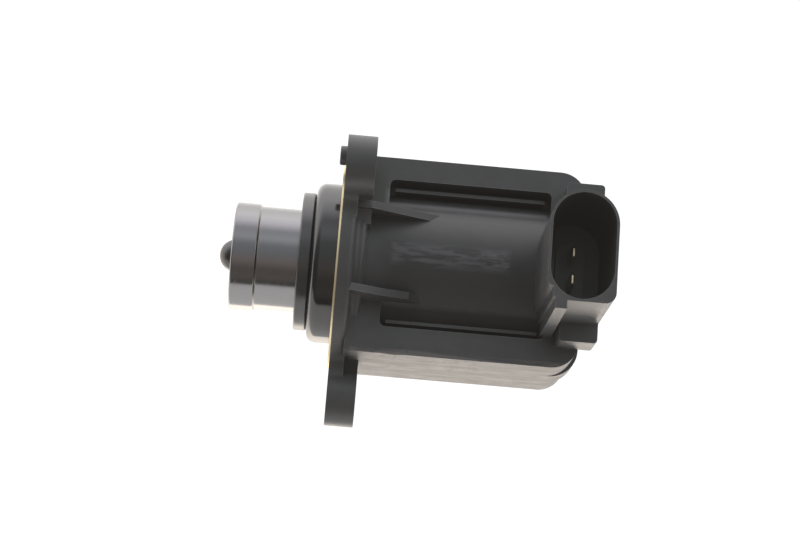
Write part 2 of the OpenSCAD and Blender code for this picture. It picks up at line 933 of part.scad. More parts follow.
// The piston: a cup that is open to the rear, with a wider band at its front
module piston() {
    band_end = -piston_front + piston_band_l;
    color([0.42, 0.42, 0.45])
        difference() {
            turned()
                polygon([[0, -piston_front], [piston_band_r - ring_edge, -piston_front],
                         [piston_band_r, -piston_front + ring_edge],
                         [piston_band_r, band_end], [piston_r, band_end + ring_edge],
                         [piston_r, -piston_back], [piston_bore_r, -piston_back],
                         [piston_bore_r, spring_front], [0, spring_front]]);
            bar_x(-piston_front - over, piston_front_t + 2 * over, rod_r + seat_gap);
            plan_x(-piston_front - over, piston_front_t + 2 * over)
                for (i = [0:vent_count - 1])
                    around(360 * (i + 0.5) / vent_count, vent_circle_r)
                        circle(r = vent_r, $fn = fine);
        }
}

// The push rod with its domed head in front of the piston
module push_rod() {
    color([0.20, 0.19, 0.19])
        union() {
            intersection() {
                translate([-piston_front - dome_h + dome_sphere_r, 0, 0])
                    sphere(r = dome_sphere_r);
                bar_x(-piston_front - dome_h - over, dome_h + over, dome_r + over);
            }
            bar_x(-piston_front - over / 2, piston_front + armature_end + over / 2, rod_r);
        }
}

// The armature that the coil pulls to the rear
module armature() {
    side = armature_r - armature_edge;
    color("slategray")
        turned()
            polygon([[rod_r + seat_gap, armature_start], [side, armature_start],
                     [armature_r, armature_start + armature_edge],
                     [armature_r, armature_end - armature_edge], [side, armature_end],
                     [rod_r + seat_gap, armature_end]]);
}

housing();
bolt_sleeve_near();
bolt_sleeve_low();
bolt_sleeve_far();
terminal_upper();
terminal_lower();
coil_bobbin();
coil_winding();
yoke();
pole_plate();
pole_core();
core_shim();
guide_tube();
rod_bush();
guide_cup();
seal_retainer();
piston_seal();
retaining_plate();
register_ring();
return_spring();
piston();
push_rod();
armature();
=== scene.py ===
"""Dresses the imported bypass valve: rounded edges, a finish for every piece, light and camera.

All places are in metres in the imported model's own frame. The valve axis is X, the piston points to -X, the plug
socket opens to -Y and +Z is up.
"""

import logging
import math
from dataclasses import dataclass
from enum import Enum

import bmesh
import bpy
from mathutils import Matrix, Vector

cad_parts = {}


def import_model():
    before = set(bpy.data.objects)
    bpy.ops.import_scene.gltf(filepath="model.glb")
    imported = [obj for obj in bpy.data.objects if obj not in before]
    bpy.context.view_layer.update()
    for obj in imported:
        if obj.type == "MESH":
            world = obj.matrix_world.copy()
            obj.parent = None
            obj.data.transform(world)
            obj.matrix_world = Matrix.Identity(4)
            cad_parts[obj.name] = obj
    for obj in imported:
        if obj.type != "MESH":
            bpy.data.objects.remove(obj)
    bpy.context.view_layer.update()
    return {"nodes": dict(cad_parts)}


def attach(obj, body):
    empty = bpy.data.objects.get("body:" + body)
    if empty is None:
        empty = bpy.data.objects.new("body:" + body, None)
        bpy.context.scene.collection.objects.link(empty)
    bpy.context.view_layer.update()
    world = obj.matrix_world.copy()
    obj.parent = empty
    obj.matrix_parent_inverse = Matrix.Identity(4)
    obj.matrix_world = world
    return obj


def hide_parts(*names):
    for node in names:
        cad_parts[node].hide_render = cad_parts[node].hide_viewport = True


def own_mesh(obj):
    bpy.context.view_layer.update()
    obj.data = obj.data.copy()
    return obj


LOG = logging.getLogger("bypass_valve")
MM = 0.001
Triple = tuple[float, float, float]
Socket = bpy.types.NodeSocket


class Body(Enum):
    """The rigid bodies that pieces ride on."""

    VALVE = "valve"
    PLUNGER = "plunger"


class Lay(Enum):
    """The way that the tool marks run on a metal."""

    AROUND = "rings around the valve axis, from turning"
    ALONG = "lines along the valve axis, from drawing"
    ACROSS = "lines along the blades, from rolling"


def rgba(colour: Triple) -> tuple[float, float, float, float]:
    """Returns the colour with full opacity."""
    return (*colour, 1.0)


def shaded(colour: Triple, factor: float) -> Triple:
    """Returns the colour made lighter or darker by a factor."""
    return (factor * colour[0], factor * colour[1], factor * colour[2])


class Graph:
    """Short ways to add and join nodes in one node tree."""

    def __init__(self, tree: bpy.types.NodeTree) -> None:
        """Keeps the tree that nodes are added to."""
        self.tree = tree

    def feed(self, socket: Socket, value: object) -> None:
        """Gives an input a value or another node's output.

        Args:
            socket: the input.
            value: what it takes.
        """
        if isinstance(value, Socket):
            self.tree.links.new(value, socket)
        else:
            socket.default_value = value

    def add(self, kind: str, inputs: dict[str | int, object] | None = None, **settings: object) -> bpy.types.Node:
        """Adds one node.

        Args:
            kind: Blender's name of the node type.
            inputs: what each input takes, a value or another node's output.
            settings: the node's own properties.

        Returns:
            The new node.
        """
        node = self.tree.nodes.new(kind)
        for name, value in settings.items():
            setattr(node, name, value)
        for name, value in (inputs or {}).items():
            self.feed(node.inputs[name], value)
        return node

    def group(self, tree: bpy.types.NodeTree, inputs: dict[str, object]) -> bpy.types.Node:
        """Places a shared pattern with its own values.

        Args:
            tree: the pattern's node group.
            inputs: what each of its inputs takes.

        Returns:
            The group node.
        """
        node = self.add("ShaderNodeGroup", node_tree=tree)
        for name, value in inputs.items():
            self.feed(node.inputs[name], value)
        return node

    def math(self, operation: str, *values: object, clamp: bool = False) -> Socket:
        """Adds a Math node and returns its output."""
        node = self.add("ShaderNodeMath", dict(enumerate(values)), operation=operation, use_clamp=clamp)
        return node.outputs[0]

    def vector_math(self, operation: str, *values: object) -> Socket:
        """Adds a Vector Math node and returns its vector output."""
        return self.add("ShaderNodeVectorMath", dict(enumerate(values)), operation=operation).outputs[0]

    def mix(self, factor: object, first: object, second: object) -> Socket:
        """Adds a colour Mix node and returns its output."""
        node = self.add("ShaderNodeMix", data_type="RGBA")
        for index, value in ((0, factor), (6, first), (7, second)):
            self.feed(node.inputs[index], value)
        return node.outputs[2]

    def remap(self, value: object, low: float, high: float, to_low: float, to_high: float) -> Socket:
        """Adds a smooth Map Range node and returns its output."""
        inputs = {"Value": value, "From Min": low, "From Max": high, "To Min": to_low, "To Max": to_high}
        return self.add("ShaderNodeMapRange", inputs, interpolation_type="SMOOTHSTEP").outputs["Result"]


class Patterns:
    """The surface patterns that several finishes share, each a node group that is built once."""

    def __init__(self) -> None:
        """Builds every group."""
        self.grain = self._grain()
        self.stretched_marks = self._stretched_marks()
        self.zone = self._zone()
        # outer-edge mask: worn edges, lightened also as a painted highlight
        self.edges = self._worn_and_highlit_edges()
        self.marks = self._marks()

    @staticmethod
    def _start(name: str, takes: dict[str, str], gives: tuple[str, ...]) -> tuple[Graph, bpy.types.Node, bpy.types.Node]:
        """Starts a node group.

        Args:
            name: the group's name.
            takes: names and socket types of its inputs.
            gives: names of its outputs, which are all numbers.

        Returns:
            The group's graph, its input node and its output node.
        """
        tree = bpy.data.node_groups.new(name, "ShaderNodeTree")
        for label, kind in takes.items():
            tree.interface.new_socket(label, in_out="INPUT", socket_type=kind)
        for label in gives:
            tree.interface.new_socket(label, in_out="OUTPUT", socket_type="NodeSocketFloat")
        graph = Graph(tree)
        return graph, graph.add("NodeGroupInput"), graph.add("NodeGroupOutput")

    def _grain(self) -> bpy.types.NodeTree:
        """The fine eroded skin of a mould, with a slow change from place to place."""
        takes = {"Vector": "NodeSocketVector", "Fineness": "NodeSocketFloat"}
        graph, given, result = self._start("mould_grain", takes, ("Height", "Mottle"))
        vector = given.outputs["Vector"]
        fine = graph.add("ShaderNodeTexNoise", {"Vector": vector, "Scale": given.outputs["Fineness"], "Detail": 2.0})
        slow_scale = graph.math("MULTIPLY", given.outputs["Fineness"], 0.03)
        slow = graph.add("ShaderNodeTexNoise", {"Vector": vector, "Scale": slow_scale, "Detail": 4.0})
        graph.feed(result.inputs["Height"], fine.outputs["Fac"])
        graph.feed(result.inputs["Mottle"], slow.outputs["Fac"])
        return graph.tree

    def _stretched_marks(self) -> bpy.types.NodeTree:
        """Long thin marks, for worn skin and for painted shade and highlights. Stretch says how much longer they are
        along each axis.
        """
        takes = {
            "Vector": "NodeSocketVector",
            "Stretch": "NodeSocketVector",
            "Scale": "NodeSocketFloat",
            "Cover": "NodeSocketFloat",
        }
        graph, given, result = self._start("stretched_mark_noise", takes, ("Mask",))
        along = graph.vector_math("DIVIDE", given.outputs["Vector"], given.outputs["Stretch"])
        noise = graph.add(
            "ShaderNodeTexNoise",
            {"Vector": along, "Scale": given.outputs["Scale"], "Detail": 6.0, "Roughness": 0.62, "Distortion": 0.35},
        )
        start = graph.math("SUBTRACT", 1.0, given.outputs["Cover"])
        over = graph.math("SUBTRACT", noise.outputs["Fac"], start)
        graph.feed(result.inputs["Mask"], graph.math("MULTIPLY", over, 9.0, clamp=True))
        return graph.tree

    def _zone(self) -> bpy.types.NodeTree:
        """A soft-edged box in space: 1 inside it and 0 outside."""
        takes = {
            "Vector": "NodeSocketVector",
            "Centre": "NodeSocketVector",
            "Half": "NodeSocketVector",
            "Softness": "NodeSocketFloat",
        }
        graph, given, result = self._start("soft_zone", takes, ("Mask",))
        away = graph.vector_math("SUBTRACT", given.outputs["Vector"], given.outputs["Centre"])
        beyond = graph.vector_math("SUBTRACT", graph.vector_math("ABSOLUTE", away), given.outputs["Half"])
        parts = graph.add("ShaderNodeSeparateXYZ", {0: beyond})
        farthest = graph.math("MAXIMUM", graph.math("MAXIMUM", parts.outputs[0], parts.outputs[1]), parts.outputs[2])
        inside = graph.math("DIVIDE", graph.math("MULTIPLY", farthest, -1.0), given.outputs["Softness"])
        graph.feed(result.inputs["Mask"], graph.math("ADD", inside, 0.5, clamp=True))
        return graph.tree

    def _worn_and_highlit_edges(self) -> bpy.types.NodeTree:
        """Outer edges, broken up by noise, for worn edges that also carry a painted highlight: 1 on an edge and 0 on a
        face.
        """
        takes = {"Vector": "NodeSocketVector", "Radius": "NodeSocketFloat"}
        graph, given, result = self._start("edge_wear_and_highlight_mask", takes, ("Mask",))
        rounded = graph.add("ShaderNodeBevel", {"Radius": given.outputs["Radius"]}, samples=4)
        plain = graph.add("ShaderNodeNewGeometry")
        both = {0: rounded.outputs[0], 1: plain.outputs["Normal"]}
        agree = graph.add("ShaderNodeVectorMath", both, operation="DOT_PRODUCT")
        bend = graph.remap(agree.outputs["Value"], 0.995, 0.9, 0.0, 1.0)
        noise = graph.add("ShaderNodeTexNoise", {"Vector": given.outputs["Vector"], "Scale": 900.0, "Detail": 3.0})
        broken = graph.remap(noise.outputs["Fac"], 0.25, 0.55, 0.0, 1.0)
        graph.feed(result.inputs["Mask"], graph.math("MULTIPLY", bend, broken))
        return graph.tree

    def _marks(self) -> bpy.types.NodeTree:
        """Fine parallel tool marks, some deeper than others. Along is the place across the marks, in metres."""
        takes = {"Along": "NodeSocketFloat", "Fineness": "NodeSocketFloat"}
        graph, given, result = self._start("tool_marks", takes, ("Height",))
        fine = graph.add(
            "ShaderNodeTexNoise",
            {"W": given.outputs["Along"], "Scale": given.outputs["Fineness"], "Detail": 3.0, "Roughness": 0.6},
            noise_dimensions="1D",
        )
        coarse_scale = graph.math("MULTIPLY", given.outputs["Fineness"], 0.17)
        coarse = graph.add(
            "ShaderNodeTexNoise", {"W": given.outputs["Along"], "Scale": coarse_scale, "Detail": 1.0},
            noise_dimensions="1D",
        )
        total = graph.math("ADD", fine.outputs["Fac"], graph.math("MULTIPLY", coarse.outputs["Fac"], 0.8))
        graph.feed(result.inputs["Height"], graph.math("MULTIPLY", total, 0.56))
        return graph.tree


@dataclass(frozen=True)
class WearAndPaintedLight:
    """One marked area of a moulding, for worn skin and for painted shade and highlights.

    Attributes:
        centre: middle of the area.
        half: half its size along each axis.
        softness: width of its faded border.
        stretch: how much longer the marks are along each axis.
        scale: number of marks per metre across them.
        cover: share of the area that is marked, from 0 to 1.
        strength: how much of the marking colour shows, from 0 to 1.
        marking: colour of the area: worn skin, painted shade or a painted highlight.
    """

    centre: Triple
    half: Triple
    softness: float
    stretch: Triple
    scale: float
    cover: float
    strength: float
    marking: Triple = (0.16, 0.16, 0.16)


class Finish:
    """What every finish has: a name and a way to make its material."""

    name: str

    def material(self, patterns: Patterns) -> bpy.types.Material:
        """Builds the material from the shared patterns."""
        raise NotImplementedError

    def start(self) -> tuple[bpy.types.Material, Graph, bpy.types.Node, Socket]:
        """Makes an empty material with its Principled shader.

        Returns:
            The material, its graph, its shader and the socket with the object coordinates.
        """
        made = bpy.data.materials.new(self.name)
        made.use_nodes = True
        made.node_tree.nodes.clear()
        graph = Graph(made.node_tree)
        shader = graph.add("ShaderNodeBsdfPrincipled")
        graph.add("ShaderNodeOutputMaterial", {"Surface": shader.outputs[0]})
        place = graph.add("ShaderNodeTexCoord").outputs["Object"]
        return made, graph, shader, place


@dataclass(frozen=True)
class Moulding(Finish):
    """A moulded plastic or rubber with a grained skin, worn edges that also carry a painted highlight, and marked areas
    of worn skin, painted shade and painted highlights.

    Attributes:
        name: the material's name.
        colour: colour of the skin.
        roughness: roughness of the skin.
        grain_per_metre: number of grains per metre.
        grain_depth: height of the grains.
        edge_wear_and_highlight_colour: colour of an outer edge, lighter than the skin: worn edges with a painted
            highlight on them.
        edge_radius: how far from an edge the worn and painted-highlight band reaches.
        edge_wear_and_highlight_strength: how much of the edge colour shows, from 0 to 1.
        gloss: strength of the reflection, 0.5 for a plain plastic and more under a coat.
        wear_and_painted_light: the marked areas.
    """

    name: str
    colour: Triple
    roughness: float
    grain_per_metre: float = 9000.0
    grain_depth: float = 0.012 * MM
    edge_wear_and_highlight_colour: Triple = (0.24, 0.24, 0.24)
    edge_radius: float = 0.3 * MM
    edge_wear_and_highlight_strength: float = 0.6
    gloss: float = 0.5
    wear_and_painted_light: tuple[WearAndPaintedLight, ...] = ()

    def material(self, patterns: Patterns) -> bpy.types.Material:
        """Builds the material.

        Args:
            patterns: the shared node groups.

        Returns:
            The new material.
        """
        made, graph, shader, place = self.start()
        shader.inputs["Specular IOR Level"].default_value = self.gloss
        grain = graph.group(patterns.grain, {"Vector": place, "Fineness": self.grain_per_metre})
        skin = graph.mix(grain.outputs["Mottle"], rgba(shaded(self.colour, 0.8)), rgba(shaded(self.colour, 1.25)))
        # outer edges get a lighter colour: worn edges plus a painted highlight
        edges = graph.group(patterns.edges, {"Vector": place, "Radius": self.edge_radius})
        marking = graph.math("MULTIPLY", edges.outputs["Mask"], self.edge_wear_and_highlight_strength)
        colour = graph.mix(marking, skin, rgba(self.edge_wear_and_highlight_colour))
        # the areas hold worn skin, painted shade and painted highlights
        for area in self.wear_and_painted_light:
            here = self._marked_area(graph, patterns, place, area)
            colour = graph.mix(here, colour, rgba(area.marking))
            marking = graph.math("MAXIMUM", marking, here)
        rough = graph.remap(grain.outputs["Mottle"], 0.3, 0.7, self.roughness - 0.03, self.roughness + 0.03)
        height = graph.math("ADD", grain.outputs["Height"], graph.math("MULTIPLY", marking, 1.5))
        bump = graph.add("ShaderNodeBump", {"Height": height, "Distance": self.grain_depth, "Strength": 1.0})
        graph.feed(shader.inputs["Base Color"], colour)
        graph.feed(shader.inputs["Roughness"], graph.math("ADD", rough, graph.math("MULTIPLY", marking, 0.12)))
        graph.feed(shader.inputs["Normal"], bump.outputs[0])
        return made

    @staticmethod
    def _marked_area(graph: Graph, patterns: Patterns, place: Socket, area: WearAndPaintedLight) -> Socket:
        """Makes the mask of one marked area.

        Args:
            graph: the material's graph.
            patterns: the shared node groups.
            place: the point's object coordinates.
            area: the marked area.

        Returns:
            The output that gives how much of the area's colour shows.
        """
        marks = graph.group(
            patterns.stretched_marks,
            {"Vector": place, "Stretch": area.stretch, "Scale": area.scale, "Cover": area.cover},
        )
        zone = graph.group(
            patterns.zone,
            {"Vector": place, "Centre": area.centre, "Half": area.half, "Softness": area.softness},
        )
        here = graph.math("MULTIPLY", marks.outputs["Mask"], zone.outputs["Mask"])
        return graph.math("MULTIPLY", here, area.strength)


@dataclass(frozen=True)
class Metal(Finish):
    """A metal with fine tool marks.

    Attributes:
        name: the material's name.
        colour: colour of the metal or of its coating.
        roughness: mean roughness.
        lay: the way the marks run.
        marks_per_metre: number of marks per metre across them.
        marks_depth: depth of the marks.
        metallic: 1 for bare metal, less under a coloured coating.
        dulling: how much the tone changes from place to place.
    """

    name: str
    colour: Triple
    roughness: float
    lay: Lay = Lay.AROUND
    marks_per_metre: float = 5000.0
    marks_depth: float = 0.002 * MM
    metallic: float = 1.0
    dulling: float = 0.14

    def material(self, patterns: Patterns) -> bpy.types.Material:
        """Builds the material.

        Args:
            patterns: the shared node groups.

        Returns:
            The new material.
        """
        made, graph, shader, place = self.start()
        shader.inputs["Metallic"].default_value = self.metallic
        parts = graph.add("ShaderNodeSeparateXYZ", {0: place})
        across = self._across(graph, parts)
        marks = graph.group(patterns.marks, {"Along": across, "Fineness": self.marks_per_metre})
        grain = graph.group(patterns.grain, {"Vector": place, "Fineness": 4000.0})
        shade = graph.math("MULTIPLY", graph.math("ADD", marks.outputs["Height"], grain.outputs["Mottle"]), 0.5)
        darker = rgba(shaded(self.colour, 1.0 - self.dulling))
        lighter = rgba(shaded(self.colour, 1.0 + self.dulling))
        bump = graph.add("ShaderNodeBump", {"Height": marks.outputs["Height"], "Distance": self.marks_depth})
        rough = graph.remap(marks.outputs["Height"], 0.3, 0.7, 0.8 * self.roughness, 1.2 * self.roughness)
        graph.feed(shader.inputs["Base Color"], graph.mix(shade, darker, lighter))
        graph.feed(shader.inputs["Roughness"], rough)
        graph.feed(shader.inputs["Normal"], bump.outputs[0])
        return made

    def _across(self, graph: Graph, parts: bpy.types.Node) -> Socket:
        """Finds the place across the marks.

        Args:
            graph: the material's graph.
            parts: the node with the object coordinates one by one.

        Returns:
            The coordinate across the marks, in metres.
        """
        if self.lay is Lay.AROUND:
            return parts.outputs[0]
        if self.lay is Lay.ACROSS:
            return parts.outputs[2]
        turn = graph.math("ARCTAN2", parts.outputs[2], parts.outputs[1])
        return graph.math("MULTIPLY", turn, 8.0 * MM)


@dataclass(frozen=True)
class EdgeZone:
    """A box in space whose edges are rounded by one width.

    Attributes:
        low: lowest corner.
        high: highest corner.
        width: distance from the old edge to where the round starts.
    """

    low: Triple
    high: Triple
    width: float

    def holds(self, point: Vector) -> bool:
        """Says whether the point lies in the box."""
        return all(self.low[i] <= point[i] <= self.high[i] for i in range(3))


@dataclass(frozen=True)
class Edges:
    """How the sharp edges of a copied CAD node are rounded.

    Attributes:
        width: distance from an edge to where its round starts, outside the zones.
        zones: places with another width; the first one that holds an edge's middle counts.
        segments: number of strips across a round.
        least_angle: smallest angle between two faces that counts as an edge, in degrees.
        sharp_angle: smallest angle that stays sharp in the shading, in degrees.
    """

    width: float
    zones: tuple[EdgeZone, ...] = ()
    segments: int = 2
    least_angle: float = 28.0
    sharp_angle: float = 40.0

    def width_at(self, edge: bmesh.types.BMEdge) -> float:
        """Returns the width for one edge."""
        middle = (edge.verts[0].co + edge.verts[1].co) / 2
        for zone in self.zones:
            if zone.holds(middle):
                return zone.width
        return self.width

    def round_off(self, shape: bmesh.types.BMesh) -> None:
        """Rounds the sharp edges, the narrow ones first.

        Args:
            shape: the merged mesh.
        """
        done = shape.faces.layers.int.new("rounded")
        limit = math.radians(self.least_angle)
        for width in sorted({self.width, *(zone.width for zone in self.zones)}):
            sharp = [
                edge
                for edge in shape.edges
                if edge.is_manifold
                and edge.calc_face_angle() > limit
                and self.width_at(edge) == width
                and not any(face[done] for face in edge.link_faces)
            ]
            result = bmesh.ops.bevel(
                shape, geom=sharp, offset=width, offset_type="OFFSET", segments=self.segments, profile=0.5,
                affect="EDGES", clamp_overlap=True, material=-1,
            )
            for face in result["faces"]:
                face[done] = 1


@dataclass(frozen=True)
class Stretch:
    """A small lengthening of a copied CAD node along the valve axis.

    Attributes:
        place: everything behind this place moves.
        shift: how far it moves.
    """

    place: float
    shift: float

    def pull(self, shape: bmesh.types.BMesh) -> None:
        """Moves the rear part.

        Args:
            shape: the merged mesh.
        """
        rear = [point for point in shape.verts if point.co.x > self.place]
        bmesh.ops.translate(shape, vec=(self.shift, 0.0, 0.0), verts=rear)


@dataclass
class Bench:
    """What every sub-assembly needs to build and dress its pieces.

    Attributes:
        nodes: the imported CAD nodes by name.
        patterns: the shared node groups.
        made: materials that are built already, by name.
    """

    nodes: dict[str, bpy.types.Object]
    patterns: Patterns
    made: dict[str, bpy.types.Material]

    def dress(self, finish: Finish, *names: str) -> None:
        """Gives nodes or pieces one finish.

        Args:
            finish: the finish.
            names: names of CAD nodes or pieces.
        """
        if finish.name not in self.made:
            self.made[finish.name] = finish.material(self.patterns)
        for name in names:
            item = bpy.data.objects[name]
            item.data.materials.clear()
            item.data.materials.append(self.made[finish.name])
            LOG.info("%s: finish %s", name, finish.name)

    def rounded(
        self, node: str, piece: str, edges: Edges, body: Body, slot: str, finish: Finish, stretch: Stretch | None = None
    ) -> bpy.types.Object:
        """Replaces a CAD node by a copy with rounded edges.

        Args:
            node: the CAD node's name.
            piece: the new piece's name.
            edges: how its edges are rounded.
            body: the body that it rides on.
            slot: not used.
            finish: its finish.
            stretch: how its rear part moves first, if it does.

        Returns:
            The new object, at the origin.
        """
        shape = bmesh.new()
        shape.from_mesh(self.nodes[node].data)
        bmesh.ops.remove_doubles(shape, verts=shape.verts, dist=1e-7)
        bmesh.ops.dissolve_limit(
            shape, angle_limit=math.radians(0.5), verts=shape.verts, edges=shape.edges, delimit={"NORMAL"}
        )
        if stretch:
            stretch.pull(shape)
        edges.round_off(shape)
        for face in shape.faces:
            face.smooth = True
        mesh = bpy.data.meshes.new(piece)
        shape.to_mesh(mesh)
        shape.free()
        mesh.set_sharp_from_angle(angle=math.radians(edges.sharp_angle))
        made = bpy.data.objects.new(piece, mesh)
        bpy.context.scene.collection.objects.link(made)
        even = made.modifiers.new("even_flats", "WEIGHTED_NORMAL")
        even.keep_sharp = True
        even.weight = 100
        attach(made, body.value)
        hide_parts(node)
        self.dress(finish, piece)
        return made


BARREL_SCUFF = WearAndPaintedLight(
    centre=(24.0 * MM, -16.0 * MM, -0.4 * MM), half=(12.5 * MM, 3.0 * MM, 2.2 * MM), softness=1.6 * MM,
    stretch=(8.0, 1.0, 1.0), scale=1400.0, cover=0.56, strength=0.55, marking=(0.14, 0.14, 0.15),
)
PATCH_RIM = WearAndPaintedLight(
    centre=(33.5 * MM, -16.5 * MM, -0.2 * MM), half=(3.2 * MM, 3.0 * MM, 2.0 * MM), softness=0.8 * MM,
    stretch=(2.5, 1.0, 1.0), scale=1500.0, cover=0.5, strength=0.5, marking=(0.15, 0.15, 0.155),
)
UNDERSIDE_STREAKS = WearAndPaintedLight(
    centre=(30.0 * MM, 0.0, -21.8 * MM), half=(26.0 * MM, 14.0 * MM, 1.0 * MM), softness=0.5 * MM,
    stretch=(12.0, 1.0, 1.0), scale=480.0, cover=0.54, strength=0.8, marking=(0.16, 0.148, 0.136),
)
UNDERSIDE_SCRATCHES = WearAndPaintedLight(
    centre=(18.0 * MM, -6.0 * MM, -21.8 * MM), half=(14.0 * MM, 7.0 * MM, 1.0 * MM), softness=3.0 * MM,
    stretch=(1.0, 5.0, 1.0), scale=900.0, cover=0.44, strength=0.7, marking=(0.012, 0.012, 0.012),
)
# light scrapes along the box's front lower edge, which also paint a highlight on that edge
FRONT_EDGE_SCRAPES_AND_HIGHLIGHT = WearAndPaintedLight(
    centre=(17.0 * MM, -12.6 * MM, -21.9 * MM), half=(7.0 * MM, 1.5 * MM, 0.1 * MM), softness=1.1 * MM,
    stretch=(3.0, 1.0, 1.0), scale=500.0, cover=0.56, strength=0.75, marking=(0.26, 0.24, 0.22),
)
# painted shade: the lower middle of the barrel is darkened where shade falls, as a near-solid dark mark
PAINTED_SHADE_LOWER_BARREL = WearAndPaintedLight(
    centre=(26.0 * MM, -19.0 * MM, -6.0 * MM), half=(16.0 * MM, 6.0 * MM, 8.0 * MM), softness=7.0 * MM,
    stretch=(2.0, 1.0, 1.0), scale=60.0, cover=0.95, strength=0.8, marking=(0.018, 0.018, 0.018),
)

# painted highlight: a lighter band on the barrel just below the upper window edge, where light falls on it
PAINTED_HIGHLIGHT_UPPER_BARREL = WearAndPaintedLight(
    centre=(27.0 * MM, -12.4 * MM, 12.9 * MM), half=(17.5 * MM, 1.6 * MM, 1.5 * MM), softness=1.4 * MM,
    stretch=(10.0, 1.0, 1.0), scale=300.0, cover=0.75, strength=0.7, marking=(0.26, 0.26, 0.265),
)

HOUSING_WEAR_AND_PAINTED_LIGHT = (PAINTED_SHADE_LOWER_BARREL, PAINTED_HIGHLIGHT_UPPER_BARREL, BARREL_SCUFF, PATCH_RIM, UNDERSIDE_STREAKS, UNDERSIDE_SCRATCHES,
                FRONT_EDGE_SCRAPES_AND_HIGHLIGHT)
HOUSING = Moulding("housing_black", (0.066, 0.066, 0.067), 0.42, wear_and_painted_light=HOUSING_WEAR_AND_PAINTED_LIGHT)
GLOSS_BLACK = Moulding(
    "cup_gloss_black", (0.008, 0.008, 0.009), 0.12, grain_depth=0.001 * MM, edge_wear_and_highlight_strength=0.0, gloss=0.85
)
SATIN_BLACK = Moulding("ring_satin_black", (0.018, 0.018, 0.019), 0.25, grain_depth=0.002 * MM, gloss=0.92)
RUBBER = Moulding("seal_rubber", (0.02, 0.02, 0.02), 0.5)
NATURAL = Moulding("bobbin_natural", (0.6, 0.57, 0.48), 0.5)
GOLD = Metal("plate_gold", (0.92, 0.78, 0.50), 0.5)
ANODISED = Metal("piston_anodised", (0.24, 0.235, 0.24), 0.18, dulling=0.08)
DARK_ROD = Metal("rod_dark", (0.10, 0.10, 0.10), 0.35)
BRASS = Metal("terminal_brass", (0.80, 0.66, 0.46), 0.3, lay=Lay.ACROSS)
STEEL = Metal("plain_steel", (0.55, 0.55, 0.56), 0.3)
WIRE = Metal("spring_wire", (0.50, 0.50, 0.52), 0.3, lay=Lay.ALONG)
IRON = Metal("soft_iron", (0.40, 0.40, 0.42), 0.4)
BRONZE = Metal("bush_bronze", (0.55, 0.38, 0.20), 0.4)
COPPER = Metal("winding_copper", (0.70, 0.30, 0.14), 0.3, marks_per_metre=2500.0, marks_depth=0.1 * MM)


@dataclass
class HousingMoulding:
    """The black moulding: flange, box, barrel, gussets, cross bar and plug socket in one piece.

    Attributes:
        edge: width of the round on most edges.
        long_edge: width of the round along the box's upper and lower edges.
        thin_edge: width on the thin ribs and in the socket.
        ear_edge: width on the ears' rear edges.
        pin_edge: width on the locating pin's end.
        window_x: where the windows start and end along the axis.
        box_y: distance of the box's sides from its middle plane; not used.
        box_z: distance of its top and underside from the axis.
        tower_y: distance from the axis where the socket stands clear of the box.
    """

    edge: float = 0.22 * MM
    long_edge: float = 0.45 * MM
    thin_edge: float = 0.09 * MM
    ear_edge: float = 0.6 * MM
    pin_edge: float = 0.35 * MM
    window_x: tuple[float, float] = (9.0 * MM, 46.0 * MM)
    box_y: float = 12.6 * MM
    box_z: float = 21.9 * MM
    tower_y: float = 21.0 * MM

    def build(self, bench: Bench) -> None:
        """Builds and dresses the moulding.

        Args:
            bench: nodes and patterns.
        """
        far = 100.0 * MM
        start, end = self.window_x
        tower = EdgeZone((40.0 * MM, -far, -16.0 * MM), (58.0 * MM, -self.tower_y, 12.0 * MM), self.thin_edge)
        windows = EdgeZone((start, -far, -17.0 * MM), (end, far, 18.0 * MM), self.thin_edge)
        near_ear = EdgeZone((5.5 * MM, -far, 4.0 * MM), (7.0 * MM, -20.0 * MM, far), self.ear_edge)
        far_ear = EdgeZone((5.5 * MM, 20.0 * MM, 4.0 * MM), (7.0 * MM, far, far), self.ear_edge)
        low_ear = EdgeZone((5.5 * MM, -far, -far), (7.0 * MM, far, -27.0 * MM), self.ear_edge)
        pin = EdgeZone((-2.0 * MM, -21.5 * MM, 16.5 * MM), (-0.8 * MM, -15.5 * MM, 22.5 * MM), self.pin_edge)
        above = EdgeZone((start, -far, self.box_z - 0.1 * MM), (48.0 * MM, far, far), self.long_edge)
        below = EdgeZone((start, -far, -far), (48.0 * MM, far, -self.box_z + 0.1 * MM), self.long_edge)
        edges = Edges(self.edge, (tower, windows, above, below, near_ear, far_ear, low_ear, pin))
        bench.rounded("housing", "housing_shell", edges, Body.VALVE, "housing_plastic", HOUSING)


@dataclass
class BoltSleeves:
    """The three steel sleeves in the ears.

    Attributes:
        edge: width of the round on their rims.
    """

    edge: float = 0.12 * MM

    def build(self, bench: Bench) -> None:
        """Builds and dresses the sleeves.

        Args:
            bench: nodes and patterns.
        """
        for place in ("near", "low", "far"):
            node = f"bolt_sleeve_{place}"
            bench.rounded(node, f"sleeve_{place}", Edges(self.edge), Body.VALVE, "sleeve_steel", STEEL)


